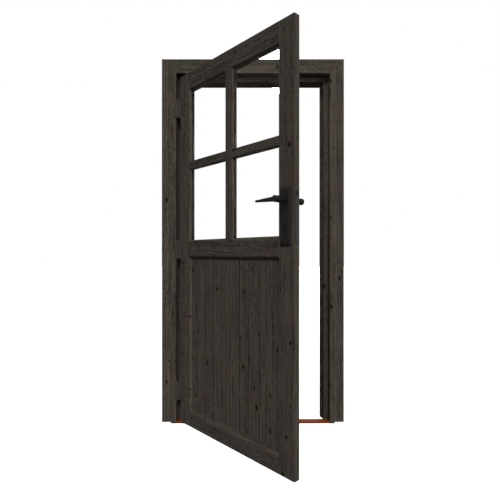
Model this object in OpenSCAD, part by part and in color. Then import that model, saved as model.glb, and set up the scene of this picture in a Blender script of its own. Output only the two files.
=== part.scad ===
// Half-glazed timber door: a framed leaf on three butt hinges, hung in its own rebated frame.
// Row frame: X runs from the hinge side to the lock side, Y into the building, Z up.
// The origin is the middle of the underside of the threshold.
// Pieces of the leaf are drawn in leaf coordinates: u from its hinge edge, d from its outer face, z from the floor.

/* [Doorway] */
// Width between the rebates of the two jambs
opening_w = 830; // [760:1:950]
// Height from the floor to the rebate of the head
opening_h = 1897; // [1840:1:2100]
// Angle at which the leaf stands open
rest_open = 48; // [30:1:90]

/* [Frame] */
// Depth of the jambs through the wall
jamb_d = 120; // [105:1:200]
// Thickness of the jambs beside the rebate
jamb_t = 30; // [26:1:45]
// How far the stop stands in from the rebate
stop_w = 24; // [22:1:28]
// How far the rear step stands in from the stop
step_w = 8; // [4:1:9]
// Depth of the rear step
step_d = 40; // [25:1:50]
// How far the stop of the head hangs below the rebate
head_stop_h = 25; // [22:1:35]
// Thickness of the threshold strip
threshold_h = 11; // [8:1:16]
// Width of the casing boards
casing_w = 77; // [50:1:110]
// Thickness of the casing boards
casing_t = 15; // [12:1:22]
// Height of the casing's feet above the floor
casing_lift = 14; // [0:1:30]
// Chamfer along the front edges of the casing
casing_chamfer = 2; // [1:0.5:4]
// Radius of the fixing holes through the jambs
fixing_r = 4; // [3:0.5:5]

/* [Leaf] */
// Thickness of the leaf
leaf_t = 30; // [29:1:36]
// How far the leaf's outer face lies behind the front of the jambs
leaf_set = 4; // [2:1:8]
// Gap between the closed leaf and the stop
stop_gap = 1; // [0.5:0.5:3]
// Gap beside the leaf at each jamb
leaf_gap = 5; // [5:0.5:6]
// Gap above the leaf
leaf_gap_top = 18; // [6:1:20]
// Gap between the threshold and the leaf
leaf_clearance = 3; // [2:1:8]
// Width of the stiles, with their moulded edge
stile_w = 92; // [90:1:110]
// Height of the top rail, with its moulded edge
top_rail_h = 97; // [85:1:140]
// Height of the middle rail, with both moulded edges
mid_rail_h = 102; // [90:1:115]
// Height of the bottom rail, with its moulded edge
bottom_rail_h = 90; // [80:1:200]
// Height of the top of the middle rail above the floor
sill_z = 995; // [985:1:1005]
// Width and depth of the moulded edge round the openings
moulding = 8; // [6:1:10]
// Length of the tenons of the rails
tenon_l = 34; // [25:1:38]
// Thickness of the tenons of the rails
tenon_t = 10; // [8:1:12]
// Shoulder above and below each tenon
tenon_shoulder = 16; // [13:1:22]

/* [Glazing] */
// Width of the upright glazing bar
bar_w = 52; // [36:1:60]
// Height of the level glazing bars
bar_h = 42; // [36:1:60]
// Chamfer along the front edges of the bars
bar_chamfer = 3; // [1:0.5:5]
// Depth of the lip that the glass lies against
lip = 12; // [11:1:14]
// Width of the rebate that holds the glass
glass_rebate = 10; // [8:1:12]
// Thickness of the glass
glass_t = 4; // [3:0.5:5]
// Room round the glass in its rebate
glass_play = 2; // [1:0.5:3]
// Chamfer along the glazing beads
bead_chamfer = 1.5; // [1:0.5:4]
// Gap at the ends of the upright beads
bead_play = 0.2; // [0.1:0.1:0.5]

/* [Boarded panel] */
// Depth of the boards' face behind the face of the leaf
panel_sink = 12; // [8:1:12]
// Height of the sloping edges of the rails above and below the boards
panel_slope = 16; // [10:1:18]
// Thickness of the boards
board_t = 12; // [11:1:13]
// Depth of the groove that holds the boards
groove_d = 9; // [6:1:11]
// Play at each end of a board in its groove
board_play = 1; // [0.5:0.5:2]
// Thickness of the tongues
tongue_t = 5; // [4:0.5:6]
// Length of the tongues
tongue_l = 6; // [5:0.5:8]
// Clearance of a tongue in its groove
tongue_play = 0.3; // [0.2:0.1:0.5]
// Chamfer of the vee joints between boards
vee = 3; // [2:0.5:4]
// Depth of the shallow vee down the middle of each board
mid_vee = 1.5; // [1:0.5:2]

/* [Hinges] */
// Height of each hinge
hinge_h = 100; // [80:1:120]
// Distance from each end of the leaf to the middle of its hinge
hinge_inset = 170; // [120:1:250]
// Thickness of the flaps
flap_t = 2; // [1.5:0.5:2]
// Diameter of the knuckles
knuckle_d = 10; // [9:0.5:12]
// Gap between the knuckles and the front of the casing
knuckle_gap = 0.5; // [0.5:0.5:2]
// Diameter of the pins
pin_d = 5; // [4:0.5:6]
// Radial clearance of a pin in the moving knuckle
pin_play = 0.05; // [0.03:0.01:0.1]
// Share of the hinge's height taken by the middle knuckle
knuckle_share = 0.4; // [0.3:0.05:0.5]
// Gap between knuckles along the pin
knuckle_play = 0.3; // [0.2:0.1:0.5]
// Radius of the hinge screws
flap_screw_r = 1.8; // [1.5:0.1:2.2]
// Length of the hinge screws
flap_screw_l = 20; // [14:1:24]

/* [Handle] */
// Height of the handle's axis above the top of the middle rail
handle_rise = 144; // [135:1:160]
// Distance from the lock edge of the leaf to the handle's axis
backset = 45; // [45:1:46]
// Width of the outer backplate
plate_w = 54; // [40:1:58]
// Width of the inner backplate, which passes the stop of the lock jamb
plate_in_w = 44; // [36:1:45]
// Height of the backplates
plate_h = 240; // [236:1:244]
// Thickness of the backplates
plate_t = 8; // [6:1:9]
// Height of the backplates above the handle's axis
plate_above = 54; // [52:1:56]
// How far the handles stand out from the leaf
lever_out = 70; // [64:1:70]
// Distance from the handle's axis to the tip of the grip
lever_reach = 119; // [100:1:140]
// Diameter of the necks
neck_d = 28; // [24:1:28]
// Radius of the grip at its root
grip_root_r = 11; // [8:0.5:12]
// Radius of the grip at its tip
grip_tip_r = 5; // [4:0.1:6]
// Side of the square spindle
spindle_w = 8; // [7:0.5:9]
// Clearance of the moving lock and handle pieces
lock_play = 0.3; // [0.2:0.1:0.4]

/* [Lock] */
// Distance from the handle's axis down to the key's axis
lock_centres = 110; // [105:1:112]
// Depth of the lock case
case_d = 70; // [69:1:72]
// Thickness of the lock case
case_t = 14; // [14:1:16]
// Wall of the lock case
case_wall = 1.5; // [1:0.1:1.6]
// Height of the lock case above the handle's axis
case_above = 36; // [35:1:37]
// Height of the lock case below the key's axis
case_below = 43; // [40:1:43]
// Width of the forend
forend_w = 20; // [18:1:24]
// Height of the forend
forend_h = 225; // [222:1:230]
// Height of the forend above the handle's axis
forend_above = 51; // [50:1:53]
// Thickness of the forend
forend_t = 2.5; // [2:0.5:2.5]
// How far the latch stands out of the forend
latch_out = 11; // [8:0.5:11]
// Height of the latch
latch_h = 18; // [14:1:19]
// Height of the deadbolt
bolt_h = 20; // [16:1:24]
// Travel of the deadbolt
bolt_travel = 14; // [10:1:15]
// Thickness of the strike plate
strike_t = 2.5; // [2:0.5:3]
// Width of the strike plate
strike_w = 26; // [25:1:28]
// Depth of the pockets behind the strike plate
strike_pocket = 19; // [17:1:21]

/* [Hidden] */
$fn = 64;
cut = 1;
faces = 32;

// Frame, derived
half_w = opening_w / 2;
rebate_d = leaf_set + leaf_t + stop_gap;
wall_y = -rebate_d / 2;
stop_y = wall_y + rebate_d;
back_y = wall_y + jamb_d;
casing_y = wall_y - casing_t;
fixing_low = 200;
fixing_high = 197;
fixing_step = (opening_h - fixing_low - fixing_high) / 3;
fixing_zs = [for (i = [0:3]) fixing_low + i * fixing_step];
fixing_y = (stop_y + back_y - step_d) / 2;

// Leaf, derived
leaf_w = opening_w - 2 * leaf_gap;
leaf_left = -half_w + leaf_gap;
leaf_front = wall_y + leaf_set;
leaf_bottom = threshold_h + leaf_clearance;
leaf_top = opening_h - leaf_gap_top;
inner_us = [stile_w, leaf_w - stile_w];
glaze_zs = [sill_z, leaf_top - top_rail_h];
panel_zs = [leaf_bottom + bottom_rail_h, sill_z - mid_rail_h];
tenon_ds = [(leaf_t - tenon_t) / 2, (leaf_t + tenon_t) / 2];
bar_us = [(leaf_w - bar_w) / 2, (leaf_w + bar_w) / 2];
bar_mid_z = (glaze_zs[0] + glaze_zs[1]) / 2;
bar_zs = [bar_mid_z - bar_h / 2, bar_mid_z + bar_h / 2];
bead_d = lip + glass_t;
bead_w = glass_rebate;
bead_t = leaf_t - bead_d;
board_ds = [panel_sink, panel_sink + board_t];
board_count = 5;
board_span = widened(inner_us, groove_d - board_play);
board_cover = (board_span[1] - board_span[0]) / board_count;

// Hinges, derived
knuckle_r = knuckle_d / 2;
pivot_x = -half_w + leaf_gap / 2;
pivot_y = casing_y - knuckle_gap - knuckle_r;
pin_r = pin_d / 2;
pin_seat = 0.02;
flap_in = 4;
hinge_zs = [leaf_bottom + hinge_inset, (leaf_bottom + leaf_top) / 2, leaf_top - hinge_inset];
flap_screw_zs = [-38, -13, 13, 38] * hinge_h / 100;
screw_play = 0.05;

// Lock and handle, derived
axis_u = leaf_w - backset;
handle_z = sill_z + handle_rise;
key_z = handle_z - lock_centres;
plate_zs = [handle_z + plate_above - plate_h, handle_z + plate_above];
plate_bolt_zs = [plate_zs[0] + 10, plate_zs[1] - 10];
plate_bolt_r = 2.5;
case_ds = [(leaf_t - case_t) / 2, (leaf_t + case_t) / 2];
works_ds = [case_ds[0] + case_wall + lock_play, case_ds[1] - case_wall - lock_play];
case_zs = [key_z - case_below, handle_z + case_above];
forend_zs = [handle_z + forend_above - forend_h, handle_z + forend_above];
forend_screw_zs = [forend_zs[0] + 8, forend_zs[1] - 8];
forend_u = leaf_w + forend_t;
hub_r = 10;
follower_r = 11;
follower_boss_r = 7;
arm_w = 5;
arm_r = 21;
latch_zs = [handle_z + 15, handle_z + 15 + latch_h];
hook_u = axis_u - arm_w / 2 - 1.5;
bolt_zs = [key_z + 20, key_z + 20 + bolt_h];
cylinder_r = 8.5;
cylinder_drop = 24.5;
cylinder_leg = 10;
cylinder_proud = 1;
plug_r = 6.5;
plug_play = 0.05;
cam_r = 14.5;
cam_shaft_r = 4;
cam_w = 9;
strike_zs = [bolt_zs[0] - 22, latch_zs[1] + 22];
strike_screw_zs = [strike_zs[0] + 8, strike_zs[1] - 8];
strike_ds = [(leaf_t - strike_w) / 2, (leaf_t + strike_w) / 2];
strike_u = leaf_w + leaf_gap;
pocket_play = 1.2;

stain = "#3a3430";
sill_brown = "#8a4a2c";
iron = "#1c1a19";
paint_brown = "#3b3530";
steel = "#9a9a98";
brass = "#b08d4a";
glass = [0.85, 0.92, 0.93, 0.35];

// Places and directions

// Moves leaf coordinates to the leaf as it stands open
module on_leaf() {
    translate([pivot_x, pivot_y, 0])
        rotate([0, 0, -rest_open])
            translate([leaf_left - pivot_x, leaf_front - pivot_y, 0])
                children();
}

// Moves leaf coordinates to the closed leaf, for what the frame holds ready for it
module on_closed_leaf() {
    translate([leaf_left, leaf_front, 0])
        children();
}

// A block between two corners, given as three spans
module block(a, b, c) {
    translate([a[0], b[0], c[0]])
        cube([a[1] - a[0], b[1] - b[0], c[1] - c[0]]);
}

// An outline drawn in the first and second axes, carried up the third
module run_up(span) {
    translate([0, 0, span[0]])
        linear_extrude(span[1] - span[0])
            children();
}

// An outline drawn in the second and third axes, carried along the first
module run_across(span) {
    translate([span[0], 0, 0])
        rotate([90, 0, 90])
            linear_extrude(span[1] - span[0])
                children();
}

// An outline drawn in the first and third axes, carried along the second
module run_through(span) {
    translate([0, span[1], 0])
        rotate([90, 0, 0])
            linear_extrude(span[1] - span[0])
                children();
}

// A round bar along the second axis
module rod(a, span, c, r) {
    translate([a, span[1], c])
        rotate([90, 0, 0])
            cylinder(h = span[1] - span[0], r = r);
}

// A countersunk screw lying along the first axis, with its head's face at the origin
module flat_screw(r, length, head_t, play = 0) {
    rotate([0, 90, 0]) {
        cylinder(h = head_t, r1 = 2 * r + play, r2 = r + play);
        cylinder(h = length + play, r = r + play);
    }
}

function widened(span, by) = [span[0] - by, span[1] + by];

// Frame

// Section of the hinge jamb, with its rebate, stop and rear step
function jamb_outline() = [
    [-half_w - jamb_t, wall_y],
    [-half_w, wall_y],
    [-half_w, stop_y],
    [-half_w + stop_w, stop_y],
    [-half_w + stop_w, back_y - step_d],
    [-half_w + stop_w + step_w, back_y - step_d],
    [-half_w + stop_w + step_w, back_y],
    [-half_w - jamb_t, back_y]
];

module fixing_holes() {
    for (z = fixing_zs)
        translate([-half_w - jamb_t - cut, fixing_y, z])
            rotate([0, 90, 0])
                cylinder(h = jamb_t + stop_w + 2 * cut, r = fixing_r);
}

module jamb_blank() {
    difference() {
        run_up([0, opening_h])
            polygon(jamb_outline());
        fixing_holes();
    }
}

module hinge_jamb() {
    color(stain)
        difference() {
            jamb_blank();
            jamb_flap_screws_shape(screw_play);
        }
}

module lock_jamb() {
    color(stain)
        difference() {
            mirror([1, 0, 0])
                jamb_blank();
            on_closed_leaf() {
                block([strike_u - cut, strike_u + strike_t], strike_ds, strike_zs);
                strike_holes([strike_u - cut, strike_u + strike_pocket]);
                strike_screws_shape(screw_play);
            }
        }
}

module head_jamb() {
    color(stain) {
        block([-half_w - jamb_t, half_w + jamb_t], [wall_y, back_y], [opening_h, opening_h + jamb_t]);
        block([-half_w + stop_w + step_w, half_w - stop_w - step_w], [stop_y, back_y],
              [opening_h - head_stop_h, opening_h + cut]);
        block([-half_w + stop_w, half_w - stop_w], [stop_y, back_y - step_d],
              [opening_h - head_stop_h, opening_h + cut]);
    }
}

module threshold() {
    color(sill_brown)
        block([-half_w, half_w], [wall_y, stop_y], [0, threshold_h]);
}

// Section of a casing board from its inner edge outwards, chamfered along both front edges
function casing_outline() = [
    [0, casing_y + casing_chamfer],
    [casing_chamfer, casing_y],
    [casing_w - casing_chamfer, casing_y],
    [casing_w, casing_y + casing_chamfer],
    [casing_w, wall_y],
    [0, wall_y]
];

module casing_upright() {
    intersection() {
        translate([half_w, 0, 0])
            run_up([casing_lift, opening_h + casing_w])
                polygon(casing_outline());
        run_through([casing_y - cut, wall_y + cut])
            polygon([
                [half_w, casing_lift],
                [half_w + casing_w, casing_lift],
                [half_w + casing_w, opening_h + casing_w],
                [half_w, opening_h]
            ]);
    }
}

module casing_lock_side() {
    color(stain)
        casing_upright();
}

module casing_hinge_side() {
    color(stain)
        mirror([1, 0, 0])
            casing_upright();
}

module casing_head() {
    reach = half_w + casing_w;
    color(stain)
        intersection() {
            run_across([-reach, reach])
                translate([0, opening_h])
                    polygon([for (p = casing_outline()) [p[1], p[0]]]);
            run_through([casing_y - cut, wall_y + cut])
                polygon([
                    [-half_w, opening_h],
                    [half_w, opening_h],
                    [reach, opening_h + casing_w],
                    [-reach, opening_h + casing_w]
                ]);
        }
}

// Mouths for the latch and the deadbolt, in leaf coordinates
module strike_holes(us) {
    block(us, widened(works_ds, pocket_play), widened(latch_zs, pocket_play));
    block(us, widened(works_ds, pocket_play), widened(bolt_zs, pocket_play));
}

module strike_screws_shape(play = 0) {
    for (z = strike_screw_zs)
        translate([strike_u, leaf_t / 2, z])
            flat_screw(flap_screw_r, flap_screw_l, strike_t, play);
}

module strike_plate() {
    color(steel)
        on_closed_leaf()
            difference() {
                block([strike_u, strike_u + strike_t], strike_ds, strike_zs);
                strike_holes([strike_u - cut, strike_u + strike_t + cut]);
                strike_screws_shape(screw_play);
            }
}

module strike_screws() {
    color(steel)
        on_closed_leaf()
            strike_screws_shape();
}

// Hinges: the jamb's flap carries the two end knuckles, the leaf's flap the middle one

knuckle_mid = hinge_h * knuckle_share / 2;
end_spans = [[-hinge_h / 2, -knuckle_mid - knuckle_play], [knuckle_mid + knuckle_play, hinge_h / 2]];
mid_span = [-knuckle_mid, knuckle_mid];
flap_back_y = stop_y - flap_in;
flap_front_y = pivot_y + knuckle_r + 1;

// One flap against the face at x, on the side that the sign gives, reaching its knuckles over the given spans
module flap(x, sign, spans, bore_r) {
    xs = sign > 0 ? [x, x + flap_t] : [x - flap_t, x];
    difference() {
        union() {
            block(xs, [flap_front_y, flap_back_y], [-hinge_h / 2, hinge_h / 2]);
            for (s = spans) {
                block(xs, [pivot_y, flap_front_y + cut], s);
                translate([pivot_x, pivot_y, s[0]])
                    cylinder(h = s[1] - s[0], r = knuckle_r);
            }
        }
        translate([pivot_x, pivot_y, -hinge_h])
            cylinder(h = 2 * hinge_h, r = bore_r);
    }
}

// The screws of one flap, with their heads' faces at the origin's first coordinate
module flap_screw_row(ys, play) {
    for (i = [0 : len(flap_screw_zs) - 1])
        translate([0, ys[i % 2], flap_screw_zs[i]])
            flat_screw(flap_screw_r, flap_screw_l, flap_t, play);
}

flap_screw_ys = [leaf_front + 6, leaf_front + 21];

module jamb_flap_screws_shape(play = 0) {
    for (z = hinge_zs)
        translate([-half_w + flap_t, 0, z])
            mirror([1, 0, 0])
                flap_screw_row(flap_screw_ys, play);
}

module leaf_flap_screws_shape(play = 0) {
    for (z = hinge_zs)
        translate([leaf_left - flap_t, 0, z])
            flap_screw_row(flap_screw_ys, play);
}

// Turns pieces drawn on the closed leaf in the row frame with the leaf
module swung() {
    translate([pivot_x, pivot_y, 0])
        rotate([0, 0, -rest_open])
            translate([-pivot_x, -pivot_y, 0])
                children();
}

module jamb_flap(place) {
    color(paint_brown)
        difference() {
            translate([0, 0, hinge_zs[place]])
                flap(-half_w, 1, end_spans, pin_r + pin_seat);
            jamb_flap_screws_shape(screw_play);
        }
}

module leaf_flap(place) {
    color(paint_brown)
        swung()
            difference() {
                translate([0, 0, hinge_zs[place]])
                    flap(leaf_left, -1, [mid_span], pin_r + pin_play);
                leaf_flap_screws_shape(screw_play);
            }
}

module hinge_pin(place) {
    head_h = 2;
    color(paint_brown)
        translate([pivot_x, pivot_y, hinge_zs[place]]) {
            translate([0, 0, -hinge_h / 2])
                cylinder(h = hinge_h + cut, r = pin_r);
            translate([0, 0, hinge_h / 2])
                cylinder(h = head_h, r1 = knuckle_r, r2 = pin_r);
        }
}

module jamb_flap_screws() {
    color(paint_brown)
        jamb_flap_screws_shape();
}

module leaf_flap_screws() {
    color(paint_brown)
        swung()
            leaf_flap_screws_shape();
}

// Leaf framing

// The splayed space in front of an opening, whose sides meet in mitres at the corners
module splay(us, zs, rise = moulding, depth = moulding) {
    over = 1 + cut / depth;
    intersection() {
        run_up(widened(zs, rise * over))
            polygon([
                [us[0] - moulding * over, -cut],
                [us[1] + moulding * over, -cut],
                [us[1], depth],
                [us[0], depth]
            ]);
        run_across(widened(us, moulding * over))
            polygon([
                [-cut, zs[0] - rise * over],
                [-cut, zs[1] + rise * over],
                [depth, zs[1]],
                [depth, zs[0]]
            ]);
    }
}

// The space behind the lip that takes glass and beads
module glass_space(us, zs) {
    block(widened(us, glass_rebate), [lip, leaf_t + cut], widened(zs, glass_rebate));
}

module board_space() {
    block(widened(inner_us, groove_d), board_ds, widened(panel_zs, groove_d));
}

// What is worked out of the stiles and rails round the two openings
module worked_edges() {
    splay(inner_us, glaze_zs);
    splay(inner_us, panel_zs, panel_slope, panel_sink);
    glass_space(inner_us, glaze_zs);
    board_space();
}

function tenon_zs(zs) = [zs[0] + tenon_shoulder, zs[1] - tenon_shoulder];

top_rail_zs = [glaze_zs[1], leaf_top];
mid_rail_zs = [panel_zs[1], glaze_zs[0]];
bottom_rail_zs = [leaf_bottom, panel_zs[0]];

// The three tenons that enter a stile, which are also its mortises
module tenons() {
    for (zs = [top_rail_zs, mid_rail_zs, bottom_rail_zs])
        block(widened(inner_us, tenon_l), tenon_ds, tenon_zs(zs));
}

module stile_blank(us) {
    difference() {
        block(us, [0, leaf_t], [leaf_bottom, leaf_top]);
        worked_edges();
        tenons();
    }
}

module hinge_stile() {
    color(stain)
        on_leaf()
            difference() {
                stile_blank([0, stile_w]);
                translate([-leaf_left, -leaf_front, 0])
                    leaf_flap_screws_shape(screw_play);
            }
}

module lock_stile() {
    color(stain)
        on_leaf()
            difference() {
                stile_blank([leaf_w - stile_w, leaf_w]);
                block([leaf_w - case_d - lock_play, leaf_w + cut], widened(case_ds, lock_play),
                      widened(case_zs, lock_play));
                rod(axis_u, [-cut, leaf_t + cut], handle_z, follower_boss_r + cut);
                cylinder_outline_run([-cut, leaf_t + cut], lock_play);
                backplate_bolt_holes(plate_bolt_r + screw_play);
                forend_screws_shape(screw_play);
            }
}

module rail(zs) {
    color(stain)
        on_leaf() {
            difference() {
                block(inner_us, [0, leaf_t], zs);
                worked_edges();
            }
            for (us = [[inner_us[0] - tenon_l, inner_us[0] + cut], [inner_us[1] - cut, inner_us[1] + tenon_l]])
                block(us, tenon_ds, tenon_zs(zs));
        }
}

module top_rail() {
    rail(top_rail_zs);
}

module middle_rail() {
    rail(mid_rail_zs);
}

module bottom_rail() {
    rail(bottom_rail_zs);
}

// Glazing

// All the room that the glazing bars may fill, out to the worked edges
module glazing_room() {
    splay(inner_us, glaze_zs);
    block(inner_us, [moulding, lip], glaze_zs);
    glass_space(inner_us, glaze_zs);
}

// Section of a glazing bar: a chamfered face, and a core between two glass rebates
function bar_outline(span) = [
    [span[0], bar_chamfer],
    [span[0] + bar_chamfer, 0],
    [span[1] - bar_chamfer, 0],
    [span[1], bar_chamfer],
    [span[1], lip],
    [span[1] - glass_rebate, lip],
    [span[1] - glass_rebate, leaf_t],
    [span[0] + glass_rebate, leaf_t],
    [span[0] + glass_rebate, lip],
    [span[0], lip]
];

module upright_bar_shape() {
    intersection() {
        run_up(widened(glaze_zs, glass_rebate))
            polygon(bar_outline(bar_us));
        glazing_room();
    }
}

module level_bar_shape(us) {
    difference() {
        intersection() {
            run_across(us)
                polygon([for (p = bar_outline(bar_zs)) [p[1], p[0]]]);
            glazing_room();
        }
        upright_bar_shape();
    }
}

module glazing_bar_upright() {
    color(stain)
        on_leaf()
            upright_bar_shape();
}

module glazing_bar_left() {
    color(stain)
        on_leaf()
            level_bar_shape([inner_us[0] - glass_rebate, bar_us[0] + glass_rebate]);
}

module glazing_bar_right() {
    color(stain)
        on_leaf()
            level_bar_shape([bar_us[1] - glass_rebate, inner_us[1] + glass_rebate]);
}

// Clear openings of the four panes, by column and row
pane_us = [[inner_us[0], bar_us[0]], [bar_us[1], inner_us[1]]];
pane_zs = [[glaze_zs[0], bar_zs[0]], [bar_zs[1], glaze_zs[1]]];

module pane(column, row) {
    hold = glass_rebate - glass_play;
    color(glass)
        on_leaf()
            block(widened(pane_us[column], hold), [lip, lip + glass_t], widened(pane_zs[row], hold));
}

// Section of a bead standing on the rebate's wall, as distances along the depth and from the wall
function bead_outline() = [
    [bead_d, 0],
    [bead_d + bead_t, 0],
    [bead_d + bead_t, bead_w - bead_chamfer],
    [bead_d + bead_t - bead_chamfer, bead_w],
    [bead_d, bead_w]
];

// Four beads round one pane: level ones along the whole rebate, upright ones between them
module beads(column, row) {
    us = widened(pane_us[column], glass_rebate);
    zs = widened(pane_zs[row], glass_rebate);
    color(stain)
        on_leaf() {
            run_across(us)
                polygon([for (p = bead_outline()) [p[0], zs[0] + p[1]]]);
            run_across(us)
                polygon([for (p = bead_outline()) [p[0], zs[1] - p[1]]]);
            run_up(widened(zs, -bead_w - bead_play))
                polygon([for (p = bead_outline()) [us[0] + p[1], p[0]]]);
            run_up(widened(zs, -bead_w - bead_play))
                polygon([for (p = bead_outline()) [us[1] - p[1], p[0]]]);
        }
}

// Boarded panel

// Joint on the left of a board, or its free edge in the stile's groove
function board_edge(i) = board_span[0] + i * board_cover;

module vee_cut(u, depth) {
    translate([u, board_ds[0]])
        rotate(45)
            square(depth * sqrt(2), center = true);
}

module board_outline(i) {
    us = [board_edge(i), board_edge(i + 1)];
    tongue_ds = [(board_ds[0] + board_ds[1] - tongue_t) / 2, (board_ds[0] + board_ds[1] + tongue_t) / 2];
    difference() {
        union() {
            translate([us[0], board_ds[0]])
                square([us[1] - us[0], board_t]);
            if (i < board_count - 1)
                translate([us[1], tongue_ds[0]])
                    square([tongue_l, tongue_t]);
        }
        if (i > 0) {
            translate([us[0] - cut, tongue_ds[0] - tongue_play])
                square([cut + tongue_l + tongue_play, tongue_t + 2 * tongue_play]);
            vee_cut(us[0], vee);
        }
        if (i < board_count - 1)
            vee_cut(us[1], vee);
        vee_cut((us[0] + us[1]) / 2, mid_vee);
    }
}

module panel_board(i) {
    color(stain)
        on_leaf()
            run_up(widened(panel_zs, groove_d - board_play))
                board_outline(i);
}

// Lock

// Outline of a profile cylinder about the key's axis, widened by the given play
module cylinder_outline(play = 0) {
    translate([axis_u, key_z]) {
        circle(r = cylinder_r + play);
        translate([-cylinder_leg / 2 - play, -cylinder_drop - play])
            square([cylinder_leg + 2 * play, cylinder_drop + play]);
    }
}

module cylinder_outline_run(ds, play = 0) {
    run_through(ds)
        cylinder_outline(play);
}

module backplate_bolt_holes(r) {
    for (z = plate_bolt_zs)
        rod(axis_u, [-plate_t + 2, leaf_t + plate_t + cut], z, r);
}

module forend_screws_shape(play = 0) {
    for (z = forend_screw_zs)
        translate([forend_u, leaf_t / 2, z])
            mirror([1, 0, 0])
                flat_screw(flap_screw_r, flap_screw_l, forend_t, play);
}

module lock_case() {
    color(steel)
        on_leaf()
            difference() {
                block([leaf_w - case_d, leaf_w], case_ds, case_zs);
                block([leaf_w - case_d + case_wall, leaf_w + cut], widened(case_ds, -case_wall),
                      widened(case_zs, -case_wall));
                rod(axis_u, [-cut, leaf_t + cut], handle_z, follower_boss_r);
                cylinder_outline_run([-cut, leaf_t + cut], lock_play);
            }
}

module lock_forend() {
    color(paint_brown)
        on_leaf()
            difference() {
                block([leaf_w, forend_u], [(leaf_t - forend_w) / 2, (leaf_t + forend_w) / 2], forend_zs);
                block([leaf_w - cut, forend_u + cut], widened(works_ds, lock_play), widened(latch_zs, lock_play));
                block([leaf_w - cut, forend_u + cut], widened(works_ds, lock_play), widened(bolt_zs, lock_play));
                forend_screws_shape(screw_play);
            }
}

module forend_screws() {
    color(paint_brown)
        on_leaf()
            forend_screws_shape();
}

module lock_follower() {
    color(steel)
        on_leaf()
            difference() {
                union() {
                    rod(axis_u, works_ds, handle_z, follower_r);
                    rod(axis_u, case_ds, handle_z, follower_boss_r - 0.1);
                    block([axis_u - arm_w / 2, axis_u + arm_w / 2], works_ds, [handle_z, handle_z + arm_r]);
                }
                spindle_bar(case_ds[0] - cut, case_ds[1] + cut, 0.05);
            }
}

// The latch: a nose bevelled on the side that meets the strike, a tail, and a hook behind the follower's arm
module latch_bolt() {
    tip_u = forend_u + latch_out;
    tail_zs = [handle_z + arm_r + 1, latch_zs[1]];
    nose_u = leaf_w - 12;
    hook_us = [hook_u - 3.5, hook_u];
    color(steel)
        on_leaf() {
            run_up(latch_zs)
                polygon([
                    [nose_u, works_ds[0]],
                    [tip_u, works_ds[0]],
                    [tip_u, works_ds[0] + 2.5],
                    [forend_u, works_ds[1]],
                    [nose_u, works_ds[1]]
                ]);
            block([hook_us[0], nose_u + cut], works_ds, tail_zs);
            block(hook_us, works_ds, [handle_z + follower_r + 2, tail_zs[1]]);
        }
}

module deadbolt() {
    color(steel)
        on_leaf()
            block([axis_u - 10, forend_u], works_ds, bolt_zs);
}

module cylinder_body() {
    ends = [-plate_t - cylinder_proud, leaf_t + plate_t + cylinder_proud];
    color(brass)
        on_leaf()
            difference() {
                cylinder_outline_run(ends);
                rod(axis_u, widened(ends, cut), key_z, plug_r);
                block([axis_u - cylinder_r - cut, axis_u + cylinder_r + cut],
                      [(leaf_t - cam_w) / 2 - lock_play, (leaf_t + cam_w) / 2 + lock_play],
                      [key_z - cam_r - 2 * lock_play, key_z + cylinder_r + cut]);
            }
}

module cylinder_plug() {
    ends = [-plate_t - cylinder_proud, leaf_t + plate_t + cylinder_proud];
    cam_ds = [(leaf_t - cam_w) / 2, (leaf_t + cam_w) / 2];
    slot_w = 2.2;
    slot_h = 8;
    slot_d = 9;
    color(brass)
        on_leaf()
            difference() {
                union() {
                    rod(axis_u, [ends[0], cam_ds[0]], key_z, plug_r - plug_play);
                    rod(axis_u, [cam_ds[1], ends[1]], key_z, plug_r - plug_play);
                    rod(axis_u, cam_ds, key_z, cam_shaft_r);
                }
                for (ds = [[ends[0] - cut, ends[0] + slot_d], [ends[1] - slot_d, ends[1] + cut]])
                    block([axis_u - slot_w / 2, axis_u + slot_w / 2], ds, [key_z - slot_h * 0.65, key_z + slot_h * 0.35]);
            }
}

module cylinder_cam() {
    lobe_w = 7;
    cam_ds = [(leaf_t - cam_w) / 2, (leaf_t + cam_w) / 2];
    color(steel)
        on_leaf()
            difference() {
                union() {
                    rod(axis_u, cam_ds, key_z, plug_r);
                    block([axis_u - lobe_w / 2, axis_u + lobe_w / 2], cam_ds, [key_z - cam_r + 0.6, key_z]);
                }
                rod(axis_u, widened(cam_ds, cut), key_z, cam_shaft_r + 0.02);
            }
}

// Handle

// A backplate on the outer face, bevelled round its face and more so at its foot
module backplate_shape(width) {
    edge = 3;
    side = 4;
    head = 8;
    foot = 14;
    us = [axis_u - width / 2, axis_u + width / 2];
    difference() {
        intersection() {
            run_up(plate_zs)
                polygon([
                    [us[0], 0], [us[1], 0], [us[1], -edge],
                    [us[1] - side, -plate_t], [us[0] + side, -plate_t], [us[0], -edge]
                ]);
            run_across(us)
                polygon([
                    [0, plate_zs[0]], [-edge, plate_zs[0]], [-plate_t, plate_zs[0] + foot],
                    [-plate_t, plate_zs[1] - head], [-edge, plate_zs[1]], [0, plate_zs[1]]
                ]);
        }
        rod(axis_u, [-plate_t - cut, cut], handle_z, hub_r);
        cylinder_outline_run([-plate_t - cut, cut], lock_play);
    }
}

// Turns a piece of the outer side round to the inner side
module inside_out() {
    translate([0, leaf_t, 0])
        mirror([0, 1, 0])
            children();
}

module backplate_outer() {
    color(iron)
        on_leaf()
            difference() {
                backplate_shape(plate_w);
                backplate_bolt_holes(plate_bolt_r + screw_play);
            }
}

module backplate_inner() {
    color(iron)
        on_leaf()
            difference() {
                inside_out()
                    backplate_shape(plate_in_w);
                backplate_bolt_holes(plate_bolt_r + screw_play);
            }
}

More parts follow.
